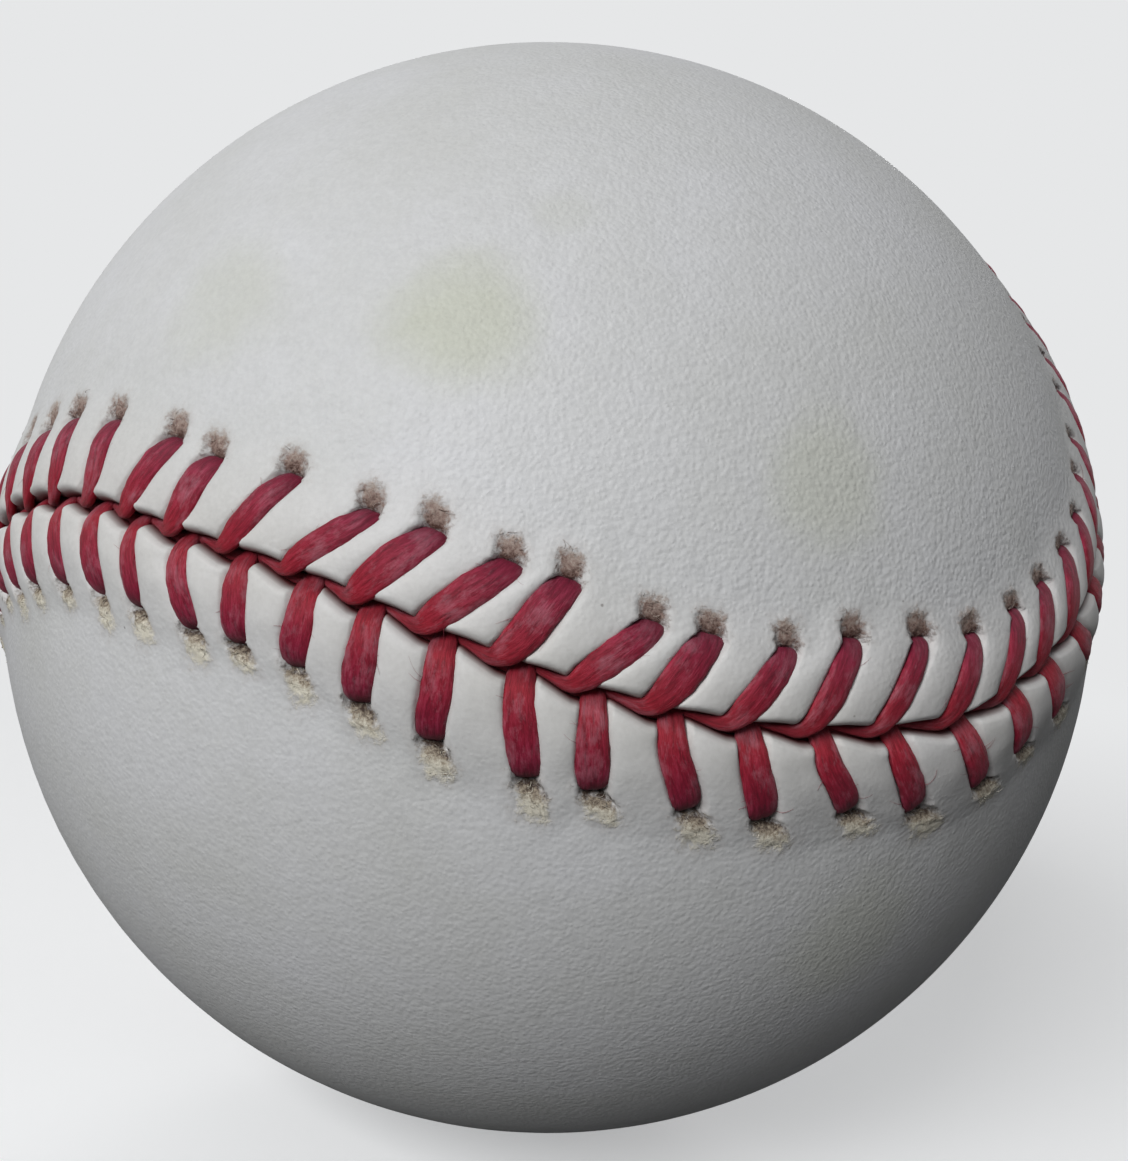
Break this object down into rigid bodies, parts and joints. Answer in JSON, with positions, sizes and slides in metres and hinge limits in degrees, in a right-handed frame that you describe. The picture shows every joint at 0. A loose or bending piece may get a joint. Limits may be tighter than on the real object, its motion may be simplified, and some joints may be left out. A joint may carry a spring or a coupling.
{
  "type": "baseball",
  "caption": "Baseball: two figure-eight leather panels joined by a raised red-stitched seam, over yarn windings and a cork and rubber centre.",
  "frame": {"origin": "centre of the ball", "axes": "the seam crosses +Z, -Z, +Y and -Y, and the necks of the two panels face +X and -X"},
  "size_m": [0.074, 0.0758, 0.0758],
  "materials": {
    "cork": "cork and rubber composition, matt",
    "black_rubber": "moulded black rubber",
    "red_rubber": "moulded red rubber",
    "grey_wool": "tightly wound grey wool yarn",
    "white_wool": "tightly wound white wool yarn",
    "cotton": "fine white cotton and polyester yarn",
    "leather": "off-white alum-tanned leather with a fine grain, matt",
    "thread": "waxed crimson cotton thread"
  },
  "bodies": {
    "root": {"cork_core": "cork", "lower_black_shell": "black_rubber", "upper_black_shell": "black_rubber", "rubber_washer": "red_rubber", "red_rubber_shell": "red_rubber", "grey_wool_winding": "grey_wool", "white_wool_winding": "white_wool", "outer_grey_wool_winding": "grey_wool", "cotton_winding": "cotton", "cover_panel_a": "leather", "cover_panel_b": "leather", "stitches_a": "thread", "stitches_b": "thread"}
  },
  "joints": []
}
